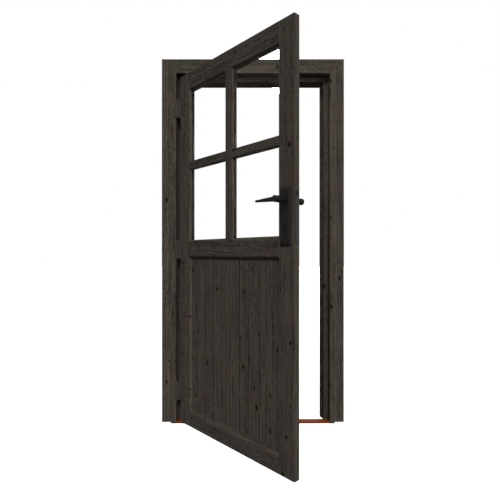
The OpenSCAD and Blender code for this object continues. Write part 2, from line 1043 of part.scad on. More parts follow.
// Bolts that clamp the two backplates through the stile, with dome heads inside
module backplate_bolts() {
    head_r = 4.5;
    head_h = 2;
    seat = leaf_t + plate_t;
    color(iron)
        on_leaf()
            for (z = plate_bolt_zs)
                translate([axis_u, 0, z])
                    rotate([-90, 0, 0]) {
                        translate([0, 0, -plate_t + 2])
                            cylinder(h = seat + plate_t - 2 + cut, r = plate_bolt_r);
                        translate([0, 0, seat])
                            cylinder(h = head_h, r1 = head_r, r2 = head_r - head_h / 2);
                    }
}

module spindle_bar(d0, d1, play = 0) {
    half = spindle_w / 2 + play;
    block([axis_u - half, axis_u + half], [d0, d1], [handle_z - half, handle_z + half]);
}

spindle_in = 24;
spigot_gap = 1;
spigot_play = 0.1;
neck_taper = 1.5;
neck_head = 24;
neck_round = 4;

module spindle() {
    color(steel)
        on_leaf()
            spindle_bar(-lever_out + spindle_in, leaf_t + lever_out - spindle_in);
}

// Section of a neck by radius and distance from the leaf, with a spigot that turns in the backplate
function neck_outline() = let (r = neck_d / 2) [
    [0, spigot_gap],
    [hub_r - spigot_play, spigot_gap],
    [hub_r - spigot_play, plate_t + lock_play],
    [r - neck_taper, plate_t + lock_play],
    [r, lever_out - neck_head],
    for (a = [0 : 15 : 90]) [r - neck_round + neck_round * cos(a), lever_out - neck_round + neck_round * sin(a)],
    [0, lever_out]
];

module lever_shape() {
    grip_d = -lever_out + grip_root_r + 1;
    difference() {
        union() {
            translate([axis_u, 0, handle_z])
                rotate([90, 0, 0])
                    rotate_extrude()
                        polygon(neck_outline());
            hull() {
                translate([axis_u - grip_root_r / 2, grip_d, handle_z])
                    sphere(r = grip_root_r, $fn = faces);
                translate([axis_u - lever_reach + grip_tip_r, grip_d, handle_z])
                    sphere(r = grip_tip_r, $fn = faces);
            }
        }
        spindle_bar(-lever_out + spindle_in - 0.5, cut, 0.05);
    }
}

module lever_outer() {
    color(iron)
        on_leaf()
            lever_shape();
}

module lever_inner() {
    color(iron)
        on_leaf()
            inside_out()
                lever_shape();
}

hinge_jamb();
lock_jamb();
head_jamb();
threshold();
casing_hinge_side();
casing_lock_side();
casing_head();
strike_plate();
strike_screws();
jamb_flap(0);  // jamb_flap_bottom
jamb_flap(1);  // jamb_flap_middle
jamb_flap(2);  // jamb_flap_top
jamb_flap_screws();
hinge_pin(0);  // hinge_pin_bottom
hinge_pin(1);  // hinge_pin_middle
hinge_pin(2);  // hinge_pin_top
hinge_stile();
lock_stile();
top_rail();
middle_rail();
bottom_rail();
glazing_bar_upright();
glazing_bar_left();
glazing_bar_right();
pane(0, 0);  // pane_lower_left
pane(1, 0);  // pane_lower_right
pane(0, 1);  // pane_upper_left
pane(1, 1);  // pane_upper_right
beads(0, 0);  // beads_lower_left
beads(1, 0);  // beads_lower_right
beads(0, 1);  // beads_upper_left
beads(1, 1);  // beads_upper_right
panel_board(0);  // panel_board_1
panel_board(1);  // panel_board_2
panel_board(2);  // panel_board_3
panel_board(3);  // panel_board_4
panel_board(4);  // panel_board_5
leaf_flap(0);  // leaf_flap_bottom
leaf_flap(1);  // leaf_flap_middle
leaf_flap(2);  // leaf_flap_top
leaf_flap_screws();
lock_case();
lock_forend();
forend_screws();
backplate_outer();
backplate_inner();
backplate_bolts();
cylinder_body();
lever_outer();
lever_inner();
spindle();
lock_follower();
latch_bolt();
deadbolt();
cylinder_plug();
cylinder_cam();
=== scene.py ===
"""Dresses a half-glazed timber door and its frame, and sets the studio round them."""

import math
import random

import bpy
from bpy.props import FloatProperty, FloatVectorProperty, IntProperty, PointerProperty
from mathutils import Matrix, Vector


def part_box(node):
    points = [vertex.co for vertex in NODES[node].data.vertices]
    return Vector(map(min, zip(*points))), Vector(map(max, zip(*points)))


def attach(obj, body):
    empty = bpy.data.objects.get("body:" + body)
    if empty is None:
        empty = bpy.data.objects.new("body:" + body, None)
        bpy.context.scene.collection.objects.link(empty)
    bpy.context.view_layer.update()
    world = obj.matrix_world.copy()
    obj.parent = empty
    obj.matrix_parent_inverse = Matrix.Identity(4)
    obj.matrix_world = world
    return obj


bl_info = {
    "name": "Half-glazed timber door",
    "version": (1, 0, 0),
    "blender": (4, 5, 0),
    "location": "View3D > Sidebar > Door",
    "description": "Finishes a stained timber door in its frame and lights it in a plain studio",
    "category": "Object",
}

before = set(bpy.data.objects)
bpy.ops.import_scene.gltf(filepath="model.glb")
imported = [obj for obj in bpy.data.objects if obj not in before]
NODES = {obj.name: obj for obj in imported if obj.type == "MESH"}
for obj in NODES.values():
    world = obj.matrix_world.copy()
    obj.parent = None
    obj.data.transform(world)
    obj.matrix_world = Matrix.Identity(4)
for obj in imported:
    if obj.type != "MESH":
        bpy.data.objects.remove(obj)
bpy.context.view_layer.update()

# The leaf is stored standing open by this angle about an upright axis
LEAF_TURN = math.radians(48)

# Wooden pieces, by body and by the run of their grain
UPRIGHT_FRAME = ("hinge_jamb", "lock_jamb", "casing_hinge_side", "casing_lock_side")
LEVEL_FRAME = ("head_jamb", "casing_head")
UPRIGHT_LEAF = ("hinge_stile", "lock_stile", "glazing_bar_upright")
LEVEL_LEAF = ("top_rail", "middle_rail", "bottom_rail", "glazing_bar_left", "glazing_bar_right")
PANEL_BOARDS = tuple(f"panel_board_{i}" for i in range(1, 6))
BEAD_SETS = ("beads_lower_left", "beads_lower_right", "beads_upper_left", "beads_upper_right")

# Tone of each group's wood against the set stain, partly painted light: the levels even out how brightly the
# lamps light each group, so the leaf's pieces, turned from the lamps, are painted lighter than the frame;
# and how much bluer the leaf is than the frame
UPRIGHT_FRAME_TONE_AND_PAINTED_LIGHT = 1.09
LEVEL_FRAME_TONE_AND_PAINTED_LIGHT = 0.96
UPRIGHT_LEAF_TONE_AND_PAINTED_LIGHT = 1.21
LEVEL_LEAF_TONE_AND_PAINTED_LIGHT = 1.13
PANEL_TONE_AND_PAINTED_LIGHT = 1.27
BEAD_TONE_AND_PAINTED_LIGHT = 0.95
LEAF_BLUE = 1.03

# Joints across a panel board, from the middle of its box; the last board has no tongue
BOARD_JOINTS = (-0.0682, -0.003, 0.0622)
LAST_BOARD_JOINTS = (-0.0652, 0.0, 0.0652)

# Other pieces, by finish
PANES = ("pane_lower_left", "pane_lower_right", "pane_upper_left", "pane_upper_right")
BROWN_PIECES = (
    "jamb_flap_bottom", "jamb_flap_middle", "jamb_flap_top", "leaf_flap_bottom", "leaf_flap_middle",
    "leaf_flap_top", "hinge_pin_bottom", "hinge_pin_middle", "hinge_pin_top", "jamb_flap_screws",
    "leaf_flap_screws", "lock_forend", "forend_screws",
)
IRON_PIECES = ("backplate_outer", "backplate_inner", "backplate_bolts", "lever_outer", "lever_inner")
STEEL_PIECES = (
    "strike_plate", "strike_screws", "lock_case", "spindle",
    "lock_follower", "latch_bolt", "deadbolt", "cylinder_cam",
)
BRASS_PIECES = ("cylinder_body", "cylinder_plug")

# Distance of the first and last nail of a row from a board's square end and from a mitred one
SQUARE_INSET = 0.12
MITRE_INSET = 1.6 * SQUARE_INSET

# Facets of a nail's head, and how a ball is flattened into it
HEAD_SEGMENTS = 12
HEAD_RINGS = 6
HEAD_SCALE = (1.0, 0.35, 1.0)

# Where the lamps stand, seen from the threshold, and how wide each looks from there
KEY_PLACE = (-0.35, -4.0, 3.6)
FILL_PLACE = (2.0, -3.46, 0.85)
BACK_PLACE = (0.9, 4.0, 2.4)
LAMP_SPREAD = math.radians(24)

# Studio white, half the floor's side, the camera's sensor in millimetres and the end of its view
WHITE = (1.0, 1.0, 1.0, 1.0)
FLOOR_HALF = 30.0
SENSOR_WIDTH = 36.0
VIEW_END = 200.0


def tint(red, green, blue):
    """Gives a colour written in 0 to 255 steps as the linear values that shaders use."""
    linear = []
    for step in (red, green, blue):
        level = step / 255
        linear.append(level / 12.92 if level <= 0.04045 else ((level + 0.055) / 1.055) ** 2.4)
    return (*linear, 1.0)


def scaled(colour, factors):
    """Gives a colour with its red, green and blue multiplied."""
    return (*(channel * factor for channel, factor in zip(colour, factors)), 1.0)


class StainSettings(bpy.types.PropertyGroup):
    """Colours and grain of the stained pine."""

    stain: FloatVectorProperty(
        name="Stain", description="Main colour of the stained wood", subtype="COLOR", size=4,
        min=0, max=1, default=tint(57, 54, 49))
    streak_dark: FloatVectorProperty(
        name="Dark streak", description="Colour of the late wood and pores", subtype="COLOR", size=4,
        min=0, max=1, default=tint(24, 21, 19))
    # The light streak colour also paints the highlight beside each panel joint
    streak_light: FloatVectorProperty(
        name="Light streak", description="Colour where the stain is worn thin", subtype="COLOR", size=4,
        min=0, max=1, default=tint(92, 85, 77))
    knot: FloatVectorProperty(
        name="Knot", description="Colour of the knots", subtype="COLOR", size=4,
        min=0, max=1, default=tint(14, 12, 11))
    ring_spacing: FloatProperty(
        name="Ring spacing", description="Distance between growth rings", subtype="DISTANCE", unit="LENGTH",
        min=0.002, max=0.03, default=0.008)
    knot_spacing: FloatProperty(
        name="Knot spacing", description="Mean distance between knots along a board", subtype="DISTANCE",
        unit="LENGTH", min=0.05, max=1.0, default=0.19)


class MetalSettings(bpy.types.PropertyGroup):
    """Colours of the metal pieces and of the threshold."""

    iron: FloatVectorProperty(
        name="Black iron", description="Colour of the handles and their plates", subtype="COLOR", size=4,
        min=0, max=1, default=tint(20, 18, 17))
    brown: FloatVectorProperty(
        name="Brown paint", description="Colour of the painted hinges and forend", subtype="COLOR", size=4,
        min=0, max=1, default=tint(52, 47, 42))
    steel: FloatVectorProperty(
        name="Lock steel", description="Colour of the lock's burnished steel", subtype="COLOR", size=4,
        min=0, max=1, default=tint(62, 59, 56))
    brass: FloatVectorProperty(
        name="Lock brass", description="Colour of the darkened cylinder", subtype="COLOR", size=4,
        min=0, max=1, default=tint(24, 20, 16))
    sill: FloatVectorProperty(
        name="Threshold", description="Colour of the hardwood threshold", subtype="COLOR", size=4,
        min=0, max=1, default=tint(110, 50, 19))


class NailSettings(bpy.types.PropertyGroup):
    """Sizes of the nails that hold the casing."""

    head_radius: FloatProperty(
        name="Head radius", description="Radius of a nail's head", subtype="DISTANCE", unit="LENGTH",
        min=0.001, max=0.004, default=0.0019)
    edge: FloatProperty(
        name="Edge distance", description="Distance of the nails from the edge of a board",
        subtype="DISTANCE", unit="LENGTH", min=0.008, max=0.03, default=0.016)
    upright_count: IntProperty(
        name="Nails up a side", description="Number of nails in a row up one side board",
        min=2, max=12, default=6)
    level_count: IntProperty(
        name="Nails along the head", description="Number of nails in a row along the head board",
        min=2, max=8, default=4)


class StageSettings(bpy.types.PropertyGroup):
    """Camera and light of the studio."""

    lens: FloatProperty(
        name="Focal length", description="Focal length of the camera", subtype="DISTANCE_CAMERA",
        min=10, max=200, default=30.07)
    distance: FloatProperty(
        name="Camera distance", description="Distance of the camera in front of the threshold",
        subtype="DISTANCE", unit="LENGTH", min=1, max=10, default=2.288)
    eye_height: FloatProperty(
        name="Eye height", description="Height of the camera above the floor", subtype="DISTANCE",
        unit="LENGTH", min=0.2, max=2, default=0.918)
    aside: FloatProperty(
        name="Camera aside", description="Sideways place of the camera", subtype="DISTANCE", unit="LENGTH",
        min=-1, max=1, default=-0.0305)
    rise: FloatProperty(
        name="Vertical shift", description="Upward shift of the picture", subtype="FACTOR",
        min=-0.2, max=0.2, default=0.0092)
    slide: FloatProperty(
        name="Sideways shift", description="Shift of the picture to the right", subtype="FACTOR",
        min=-0.2, max=0.2, default=0.0055)
    sky: FloatProperty(
        name="Room light", description="Strength of the even light from all round",
        min=0, max=3, default=0.42)
    key: FloatProperty(
        name="Key light", description="Strength of the broad high lamp", min=0, max=10, default=2.5)
    fill: FloatProperty(
        name="Fill light", description="Strength of the broad low lamp in front", min=0, max=10, default=1.5)
    back: FloatProperty(
        name="Back light", description="Strength of the broad high lamp behind", min=0, max=10, default=2.0)


class Field:
    """An output in a node tree. Values take part in plain arithmetic."""

    def __init__(self, tree, socket):
        self.tree = tree
        self.socket = socket

    def worked(self, operation, first, second=None):
        """Adds one Math node and returns its result."""
        node = self.tree.nodes.new("ShaderNodeMath")
        node.operation = operation
        plug(self.tree, node.inputs[0], first)
        if second is not None:
            plug(self.tree, node.inputs[1], second)
        return Field(self.tree, node.outputs[0])

    def __add__(self, other):
        return self.worked("ADD", self, other)

    def __radd__(self, other):
        return self.worked("ADD", other, self)

    def __sub__(self, other):
        return self.worked("SUBTRACT", self, other)

    def __rsub__(self, other):
        return self.worked("SUBTRACT", other, self)

    def __mul__(self, other):
        return self.worked("MULTIPLY", self, other)

    def __rmul__(self, other):
        return self.worked("MULTIPLY", other, self)

    def __truediv__(self, other):
        return self.worked("DIVIDE", self, other)

    def __rtruediv__(self, other):
        return self.worked("DIVIDE", other, self)

    def sine(self):
        """Gives the sine of the value."""
        return self.worked("SINE", self)

    def root(self):
        """Gives the square root of the value."""
        return self.worked("SQRT", self)

    def above(self, level):
        """Gives 1 where the value is above the level."""
        return self.worked("GREATER_THAN", self, level)

    def apart(self, level):
        """Gives how far the value is from a level."""
        return self.worked("ABSOLUTE", self - level)

    def greater(self, other):
        """Gives the greater of two values."""
        return self.worked("MAXIMUM", self, other)


def plug(tree, socket, value):
    """Links a field to a socket, or sets the socket to a plain value."""
    if isinstance(value, Field):
        tree.links.new(value.socket, socket)
    else:
        socket.default_value = value


class Graph:
    """A node tree under construction."""

    def __init__(self, tree):
        self.tree = tree
        self.tree.nodes.clear()

    def node(self, kind, settings=None, sockets=None, out=0):
        """Adds a node with its settings, then its sockets' values or links.

        Returns the output that out names, or a list of outputs where out is a tuple.
        """
        node = self.tree.nodes.new(kind)
        for key, value in (settings or {}).items():
            setattr(node, key, value)
        for key, value in (sockets or {}).items():
            plug(self.tree, node.inputs[key], value)
        if isinstance(out, tuple):
            return [Field(self.tree, node.outputs[key]) for key in out]
        return Field(self.tree, node.outputs[out])


class Finish(Graph):
    """A material under construction."""

    def __init__(self, name):
        self.material = bpy.data.materials.new(name)
        self.material.use_nodes = True
        super().__init__(self.material.node_tree)

    def object_axes(self, turn=0.0, shift=(0.0, 0.0, 0.0)):
        """Gives the three object coordinates, turned about the upright axis and shifted."""
        place = self.node("ShaderNodeTexCoord", out="Object")
        mapped = self.node("ShaderNodeMapping", None, {
            "Vector": place, "Rotation": (0.0, 0.0, turn), "Location": shift})
        return self.node("ShaderNodeSeparateXYZ", None, {0: mapped}, (0, 1, 2))

    def point(self, x, y, z):
        """Joins three values into a vector."""
        return self.node("ShaderNodeCombineXYZ", None, {0: x, 1: y, 2: z})

    def noise(self, x, y, z, detail=3.0, rough=0.55):
        """Gives a noise value between 0 and 1 at a point."""
        return self.node("ShaderNodeTexNoise", None, {
            "Vector": self.point(x, y, z), "Scale": 1.0, "Detail": detail, "Roughness": rough})

    def ramp(self, value, low, high):
        """Gives a smooth step from 0 at low to 1 at high."""
        return self.node("ShaderNodeMapRange", {"interpolation_type": "SMOOTHSTEP"}, {
            "Value": value, "From Min": low, "From Max": high, "To Min": 0.0, "To Max": 1.0})

    def blend(self, share, first, second):
        """Mixes two colours, whose sockets go by number because a Mix node repeats their names."""
        return self.node("ShaderNodeMix", {"data_type": "RGBA"}, {0: share, 6: first, 7: second}, 2)

    def bump(self, height, strength, distance):
        """Gives a normal roughened by a height."""
        return self.node("ShaderNodeBump", None, {
            "Height": height, "Strength": strength, "Distance": distance})

    def surface(self, **sockets):
        """Closes the material with one principled surface."""
        names = {key.replace("_", " "): value for key, value in sockets.items()}
        return self.close(self.node("ShaderNodeBsdfPrincipled", None, names))

    def close(self, shader):
        """Closes the material with a shader and returns it."""
        self.node("ShaderNodeOutputMaterial", None, {"Surface": shader}, ())
        return self.material


def dress(names, make):
    """Gives each named CAD piece the material that make returns for it."""
    for name in names:
        mesh = NODES[name].data
        mesh.materials.clear()
        mesh.materials.append(make(name))


def pine_knots(finish, across, along, seed, fleck, taper=None):
    """Gives masks of knots and of their rims, in different sizes, in some cells of a scattered grid."""
    spread = 1 / bpy.context.scene.door_stain.knot_spacing
    spot = finish.point(across * spread * 1.7 + seed, along * spread + seed, 0.0)
    distance, draw = finish.node(
        "ShaderNodeTexVoronoi", {"voronoi_dimensions": "2D"}, {"Vector": spot, "Scale": 1.0},
        ("Distance", "Color"))
    chance, grade = finish.node("ShaderNodeSeparateColor", None, {0: draw}, (0, 1))
    chosen = chance.above(0.4)
    size = grade * 0.07 + 0.025
    if taper is not None:
        size = size * (1 - taper * 0.8)
    reach = (distance + (fleck - 0.5) * 0.03) / size
    knots = (1 - finish.ramp(reach, 0.55, 1.0)) * chosen
    rims = (1 - finish.ramp(reach, 1.0, 2.2)) * chosen
    return knots, rims


def joint_lines(finish, colour, across, places, broad):
    """Adds dirt in the joints of a boarded panel, and a painted highlight beside each, on the side of the
    groove that would catch the light.
    """
    settings = bpy.context.scene.door_stain
    edge = 0.0045
    for place in places:
        # Painted highlight in the light streak colour along one side of each joint, where the groove's edge
        # would catch the light
        groove_highlight = 1 - finish.ramp(across.apart(place + edge), 0.001, 0.003)
        share = groove_highlight * finish.ramp(broad, 0.4, 0.56) * 0.7
        colour = finish.blend(share, colour, tuple(settings.streak_light))
        dirt = 1 - finish.ramp(across.apart(place), 0.0012, 0.003)
        colour = finish.blend(dirt * 0.75, colour, tuple(settings.streak_dark))
    return colour


def stained_pine(name, level=False, turn=0.0, tone_and_painted_light=1.0, joints=()):
    """Makes stained pine for one piece, with its own cut of rings, streaks, flecks and knots."""
    settings = bpy.context.scene.door_stain
    dice = random.Random(name)
    low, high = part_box(name)
    middle = (Vector(low) + Vector(high)) / 2
    finish = Finish(f"stained_pine.{name}")
    x, depth, z = finish.object_axes(turn, -(Matrix.Rotation(turn, 3, "Z") @ middle))
    along, across = (x, z) if level else (z, x)
    seed = dice.uniform(0, 40)

    # Slow waver of the grain, then rings about a pith that lies behind the face
    waver = finish.noise(across * 6, depth * 6, along * 1.6 + seed, 2.0)
    pith = dice.uniform(-0.03, 0.03)
    side = across - pith + (waver - 0.5) * 0.05
    back = depth - dice.uniform(0.03, 0.07)
    radius = (side * side + back * back).root()
    rings = (radius * (2 * math.pi / settings.ring_spacing)).sine() * 0.5 + 0.5

    # Streaks along the grain at two widths, short flecks, and patches where the stain took more
    bent = across + (waver - 0.5) * 0.03
    fine = finish.noise(bent * 330 + seed, depth * 330, along * 22, 2.0)
    broad = finish.noise(bent * 90 + seed, depth * 90, along * 6, 3.0, 0.65)
    fleck = finish.noise(bent * 240, depth * 240 + seed, along * 55, 1.0)
    patch = finish.noise(across * 16 + seed, depth * 16, along * 9, 3.0, 0.6)

    # Knots taper towards the back of the frame's deep pieces, which stand unturned
    taper = None
    if not turn:
        front = (low[1] - high[1]) / 2
        taper = finish.ramp(depth, front + 0.02, front + 0.07)
    knots, rims = pine_knots(finish, across, along, seed, fleck, taper)

    # Ruddy and mossy patches of the stain, then streaks and flecks, joint dirt with a painted highlight
    # beside each joint, and knots over them
    shade = broad * 0.5 + fine * 0.4 + rings * 0.1
    dark = 1 - finish.ramp(shade, 0.36, 0.5)
    light = finish.ramp(shade, 0.5, 0.68)
    dark_fleck = 1 - finish.ramp(fleck, 0.27, 0.36)
    light_fleck = finish.ramp(fleck, 0.6, 0.72)
    # The group's tone scales the stain; it is partly painted light, lighter on the leaf for the light it
    # loses turned from the lamps
    stain = scaled(settings.stain, (tone_and_painted_light, tone_and_painted_light, tone_and_painted_light * LEAF_BLUE if turn else tone_and_painted_light))
    ruddy = scaled(stain, (1.12, 0.96, 0.95))
    mossy = scaled(stain, (0.96, 1.01, 0.94))
    rim = scaled(stain, (1.1, 0.8, 0.7))
    colour = finish.blend(finish.ramp(patch, 0.36, 0.64), mossy, ruddy)
    colour = finish.blend(dark * 0.6, colour, tuple(settings.streak_dark))
    colour = finish.blend(light * 0.4, colour, tuple(settings.streak_light))
    colour = finish.blend(light_fleck * 0.5, colour, tuple(settings.streak_light))
    colour = finish.blend(dark_fleck * 0.8, colour, tuple(settings.streak_dark))
    colour = joint_lines(finish, colour, across, joints, broad)
    colour = finish.blend(rims * 0.35, colour, rim)
    colour = finish.blend(knots * 0.9, colour, tuple(settings.knot))
    height = fine * 0.6 + broad * 0.5 - knots * 0.5
    return finish.surface(
        Base_Color=colour,
        Roughness=0.8 - light * 0.12,
        Specular_IOR_Level=0.0,
        Normal=finish.bump(height, 0.35, 0.0006),
    )


def threshold_wood(name):
    """Makes oiled hardwood with grain along the threshold."""
    settings = bpy.context.scene.door_metal
    finish = Finish(f"threshold_wood.{name}")
    x, depth, z = finish.object_axes()
    fine = finish.noise(x * 9, depth * 380, z * 380, 2.0)
    broad = finish.noise(x * 3, depth * 60, z * 60, 3.0)
    shade = fine * 0.45 + broad * 0.55
    sill = tuple(settings.sill)
    deep = scaled(sill, (0.45, 0.42, 0.4))
    pale = scaled(sill, (1.3, 1.3, 1.3))
    colour = finish.blend(finish.ramp(shade, 0.34, 0.5), deep, sill)
    colour = finish.blend(finish.ramp(shade, 0.52, 0.68) * 0.6, colour, pale)
    return finish.surface(
        Base_Color=colour,
        Roughness=0.55 + fine * 0.15,
        Specular_IOR_Level=0.02,
        Normal=finish.bump(shade, 0.25, 0.0005),
    )


def black_iron(name):
    """Makes satin black paint on iron, rubbed a little brighter in specks."""
    settings = bpy.context.scene.door_metal
    finish = Finish(f"black_iron.{name}")
    x, y, z = finish.object_axes()
    grain = finish.noise(x * 900, y * 900, z * 900, 3.0)
    rub = finish.noise(x * 60, y * 60, z * 60, 4.0)
    iron = tuple(settings.iron)
    bright = scaled(iron, (2.0, 1.95, 1.9))
    colour = finish.blend(finish.ramp(rub, 0.56, 0.72), iron, bright)
    return finish.surface(
        Base_Color=colour,
        Roughness=0.45 + rub * 0.2,
        Specular_IOR_Level=0.1,
        Normal=finish.bump(grain, 0.18, 0.0003),
    )


def brown_paint(name):
    """Makes brown paint on steel, brushed upright and darker where it is worn."""
    settings = bpy.context.scene.door_metal
    finish = Finish(f"brown_paint.{name}")
    x, y, z = finish.object_axes()
    brush = finish.noise(x * 500, y * 500, z * 30, 3.0)
    wear = finish.noise(x * 90, y * 90, z * 60, 4.0)
    paint = tuple(settings.brown)
    worn = scaled(paint, (0.6, 0.6, 0.6))
    return finish.surface(
        Base_Color=finish.blend(finish.ramp(wear, 0.5, 0.7), paint, worn),
        Roughness=0.6 + brush * 0.2,
        Specular_IOR_Level=0.2,
        Normal=finish.bump(brush, 0.2, 0.0003),
    )


def lock_steel(name):
    """Makes burnished steel with a brushed grain."""
    settings = bpy.context.scene.door_metal
    finish = Finish(f"lock_steel.{name}")
    x, y, z = finish.object_axes(LEAF_TURN)
    brush = finish.noise(x * 700, y * 700, z * 12, 3.0)
    cloud = finish.noise(x * 40, y * 40, z * 40, 3.0)
    steel = tuple(settings.steel)
    dull = scaled(steel, (0.62, 0.62, 0.6))
    return finish.surface(
        Base_Color=finish.blend(finish.ramp(cloud, 0.35, 0.65), dull, steel),
        Metallic=0.9,
        Roughness=0.34 + brush * 0.2,
        Normal=finish.bump(brush, 0.12, 0.0003),
    )


def dull_brass(name):
    """Makes brass that has gone almost black, with darker patches."""
    settings = bpy.context.scene.door_metal
    finish = Finish(f"dull_brass.{name}")
    x, y, z = finish.object_axes(LEAF_TURN)
    cloud = finish.noise(x * 120, y * 120, z * 120, 3.0)
    brass = tuple(settings.brass)
    dark = scaled(brass, (0.5, 0.48, 0.45))
    return finish.surface(
        Base_Color=finish.blend(finish.ramp(cloud, 0.3, 0.65), dark, brass),
        Metallic=0.9,
        Roughness=0.36 + cloud * 0.2,
    )


def clear_glass(name):
    """Makes clear window glass."""
    finish = Finish(f"clear_glass.{name}")
    return finish.surface(
        Base_Color=WHITE,
        Roughness=0.0,
        IOR=1.05,
        Transmission_Weight=1.0,
    )


def leaf_pine(tone_and_painted_light, level=False, joints=()):
    """Gives a maker of stained pine that is turned with the leaf."""
    return lambda name: stained_pine(name, level, LEAF_TURN, tone_and_painted_light, joints)


class DOOR_OT_stain_frame(bpy.types.Operator):
    """Stain the jambs, the head and the casing"""

    bl_idname = "door.stain_frame"
    bl_label = "Stain the frame"

    def execute(self, context):
        """Gives each board of the frame its own stained pine."""
        dress(UPRIGHT_FRAME, lambda name: stained_pine(name, tone_and_painted_light=UPRIGHT_FRAME_TONE_AND_PAINTED_LIGHT))
        dress(LEVEL_FRAME, lambda name: stained_pine(name, level=True, tone_and_painted_light=LEVEL_FRAME_TONE_AND_PAINTED_LIGHT))
        return {"FINISHED"}


class DOOR_OT_stain_leaf(bpy.types.Operator):
    """Stain the stiles, rails, bars, beads and boards of the leaf"""

    bl_idname = "door.stain_leaf"
    bl_label = "Stain the leaf"

    def execute(self, context):
        """Gives each piece of the leaf its own stained pine, turned with the leaf."""
        dress(UPRIGHT_LEAF, leaf_pine(UPRIGHT_LEAF_TONE_AND_PAINTED_LIGHT))
        dress(LEVEL_LEAF, leaf_pine(LEVEL_LEAF_TONE_AND_PAINTED_LIGHT, level=True))
        dress(PANEL_BOARDS[:-1], leaf_pine(PANEL_TONE_AND_PAINTED_LIGHT, joints=BOARD_JOINTS))
        dress(PANEL_BOARDS[-1:], leaf_pine(PANEL_TONE_AND_PAINTED_LIGHT, joints=LAST_BOARD_JOINTS))
        dress(BEAD_SETS, leaf_pine(BEAD_TONE_AND_PAINTED_LIGHT))
        return {"FINISHED"}


class DOOR_OT_threshold(bpy.types.Operator):
    """Oil the hardwood threshold"""

    bl_idname = "door.threshold"
    bl_label = "Oil the threshold"

    def execute(self, context):
        """Gives the threshold its hardwood."""
        dress(("threshold",), threshold_wood)
        return {"FINISHED"}


class DOOR_OT_ironmongery(bpy.types.Operator):
    """Finish the hinges, handles and lock"""

    bl_idname = "door.ironmongery"
    bl_label = "Finish the metal"

    def execute(self, context):
        """Gives the metal pieces their paint, steel and brass."""
        dress(IRON_PIECES, black_iron)
        dress(BROWN_PIECES, brown_paint)
        dress(STEEL_PIECES, lock_steel)
        dress(BRASS_PIECES, dull_brass)
        return {"FINISHED"}


class DOOR_OT_glaze(bpy.types.Operator):
    """Glaze the four openings"""

    bl_idname = "door.glaze"
    bl_label = "Glaze"

    def execute(self, context):
        """Gives the panes clear glass."""
        dress(PANES, clear_glass)
        return {"FINISHED"}


def nail_tree(material):
    """Builds the node tree that sets rows of domed nail heads, one row for each line it is given."""
    tree = bpy.data.node_groups.new("casing_nail_rows", "GeometryNodeTree")
    tree.interface.new_socket("Geometry", in_out="INPUT", socket_type="NodeSocketGeometry")
    radius = tree.interface.new_socket("Head Radius", in_out="INPUT", socket_type="NodeSocketFloat")
    nails = tree.interface.new_socket("Nails", in_out="INPUT", socket_type="NodeSocketInt")
    tree.interface.new_socket("Geometry", in_out="OUTPUT", socket_type="NodeSocketGeometry")
    graph = Graph(tree)
    lines, head_radius, count = graph.node("NodeGroupInput", out=("Geometry", "Head Radius", "Nails"))
    curve = graph.node("GeometryNodeMeshToCurve", None, {"Mesh": lines})
    points = graph.node("GeometryNodeCurveToPoints", None, {"Curve": curve, "Count": count})
    ball = graph.node("GeometryNodeMeshUVSphere", None, {
        "Segments": HEAD_SEGMENTS, "Rings": HEAD_RINGS, "Radius": head_radius})
    head = graph.node("GeometryNodeTransform", None, {"Geometry": ball, "Scale": HEAD_SCALE})
    placed = graph.node("GeometryNodeInstanceOnPoints", None, {"Points": points, "Instance": head})
    real = graph.node("GeometryNodeRealizeInstances", None, {"Geometry": placed})
    painted = graph.node("GeometryNodeSetMaterial", None, {"Geometry": real, "Material": material})
    graph.node("NodeGroupOutput", None, {"Geometry": painted}, ())
    return tree, radius.identifier, nails.identifier


def nail_rows(name, lines, count):
    """Sets nail heads along the given lines, as one plain mesh object on the frame."""
    settings = bpy.context.scene.door_nails
    guide = bpy.data.meshes.new(f"{name}.lines")
    points = [point for line in lines for point in line]
    guide.from_pydata(points, [(2 * i, 2 * i + 1) for i in range(len(lines))], [])
    rows = bpy.data.objects.new(name, guide)
    bpy.context.collection.objects.link(rows)
    tree, radius, nails = nail_tree(black_iron(name))
    modifier = rows.modifiers.new("rows", "NODES")
    modifier.node_group = tree
    modifier[radius] = settings.head_radius
    modifier[nails] = count
    finished = rows.evaluated_get(bpy.context.evaluated_depsgraph_get())
    heads = bpy.data.meshes.new_from_object(finished)
    rows.modifiers.remove(modifier)
    rows.data = heads
    if not heads.polygons:
        raise RuntimeError(f"{name} has no nail heads")
    heads.shade_smooth()
    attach(rows, "frame")


class DOOR_OT_casing_nails(bpy.types.Operator):
    """Drive the nails that hold the casing"""

    bl_idname = "door.casing_nails"
    bl_label = "Nail the casing"

    def execute(self, context):
        """Sets two rows of nail heads in each casing board."""
        settings = context.scene.door_nails
        upright = []
        for name in ("casing_hinge_side", "casing_lock_side"):
            low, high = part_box(name)
            for x in (low[0] + settings.edge, high[0] - settings.edge):
                upright.append(((x, low[1], low[2] + SQUARE_INSET), (x, low[1], high[2] - MITRE_INSET)))
        low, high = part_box("casing_head")
        level = []
        for z in (low[2] + settings.edge, high[2] - settings.edge):
            level.append(((low[0] + MITRE_INSET, low[1], z), (high[0] - MITRE_INSET, low[1], z)))
        nail_rows("casing_nails_upright", upright, settings.upright_count)
        nail_rows("casing_nails_head", level, settings.level_count)
        return {"FINISHED"}


def background_rays(graph):
    """Gives the rays that see the background: from the camera or through glass, and from gloss."""
    camera, glass, gloss = graph.node(
        "ShaderNodeLightPath", out=("Is Camera Ray", "Is Transmission Ray", "Is Glossy Ray"))
    return camera.greater(glass), gloss


